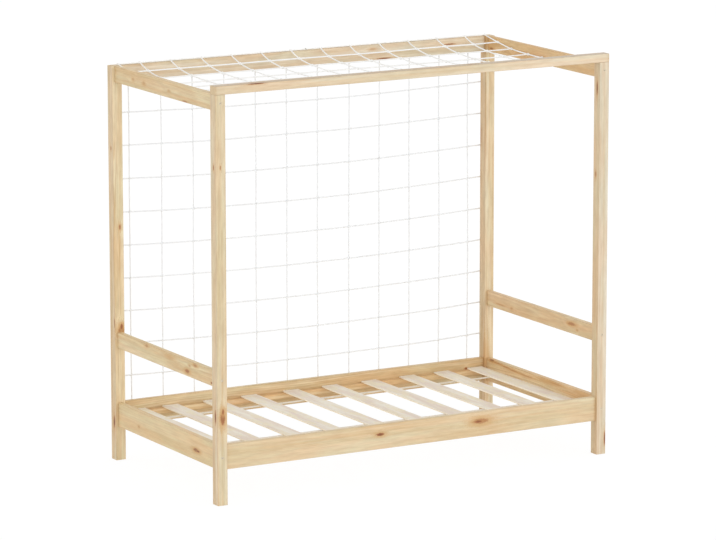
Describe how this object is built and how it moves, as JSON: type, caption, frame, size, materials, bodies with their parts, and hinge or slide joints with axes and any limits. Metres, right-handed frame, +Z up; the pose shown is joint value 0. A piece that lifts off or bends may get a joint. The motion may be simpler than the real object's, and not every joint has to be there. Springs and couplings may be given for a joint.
{
  "type": "kids play bed",
  "caption": "Low slatted pine bed for a child, with tall corner posts that carry top rails, a rope net over the back and a rope net hung like a roof.",
  "frame": {"origin": "on the floor under the middle of the bed's bounding box", "axes": "+X along the bed, -Y out of the open front, +Z up"},
  "size_m": [1.66, 0.8672, 1.5313],
  "materials": {
    "pine": "planed and lightly sanded, unvarnished",
    "slats": "smooth pale birch",
    "dowels": "turned, bare",
    "screws": "zinc plated",
    "staples": "galvanised wire",
    "net_cord": "twisted white cord, knotted",
    "slat_ribbon": "woven cream cotton ribbon"
  },
  "bodies": {
    "root": {"post_front_left": "pine", "post_front_right": "pine", "post_back_left": "pine", "post_back_right": "pine", "front_top_rail": "pine", "back_top_rail": "pine", "front_bottom_rail": "pine", "back_bottom_rail": "pine", "top_side_rail_left": "pine", "top_side_rail_right": "pine", "mid_side_rail_left": "pine", "mid_side_rail_right": "pine", "end_bottom_rail_left": "pine", "end_bottom_rail_right": "pine", "slat_ledger_front": "pine", "slat_ledger_back": "pine", "slat_1": "slats", "slat_2": "slats", "slat_3": "slats", "slat_4": "slats", "slat_5": "slats", "slat_6": "slats", "slat_7": "slats", "slat_8": "slats", "slat_9": "slats", "slat_10": "slats", "slat_ribbon_front": "slat_ribbon", "slat_ribbon_back": "slat_ribbon", "net_back": "net_cord", "net_top": "net_cord", "screw_front_left_top_side_rail": "screws", "screw_front_left_mid_side_rail": "screws", "screw_front_left_end_bottom_rail": "screws", "screw_front_right_top_side_rail": "screws", "screw_front_right_mid_side_rail": "screws", "screw_front_right_end_bottom_rail": "screws", "screw_back_left_top_side_rail": "screws", "screw_back_left_mid_side_rail": "screws", "screw_back_left_end_bottom_rail": "screws", "screw_back_right_top_side_rail": "screws", "screw_back_right_mid_side_rail": "screws", "screw_back_right_end_bottom_rail": "screws", "dowel_front_bottom_rail_left_low": "dowels", "dowel_front_bottom_rail_left_high": "dowels", "dowel_front_bottom_rail_right_low": "dowels", "dowel_front_bottom_rail_right_high": "dowels", "dowel_back_bottom_rail_left_low": "dowels", "dowel_back_bottom_rail_left_high": "dowels", "dowel_back_bottom_rail_right_low": "dowels", "dowel_back_bottom_rail_right_high": "dowels", "dowel_back_top_rail_left_low": "dowels", "dowel_back_top_rail_left_high": "dowels", "dowel_back_top_rail_right_low": "dowels", "dowel_back_top_rail_right_high": "dowels", "dowel_front_top_rail_left": "dowels", "dowel_front_top_rail_right": "dowels", "net_staple_back_post_left": "staples", "net_staple_back_post_right": "staples", "net_staple_back_rail": "staples", "net_staple_front_rail": "staples"}
  },
  "joints": []
}
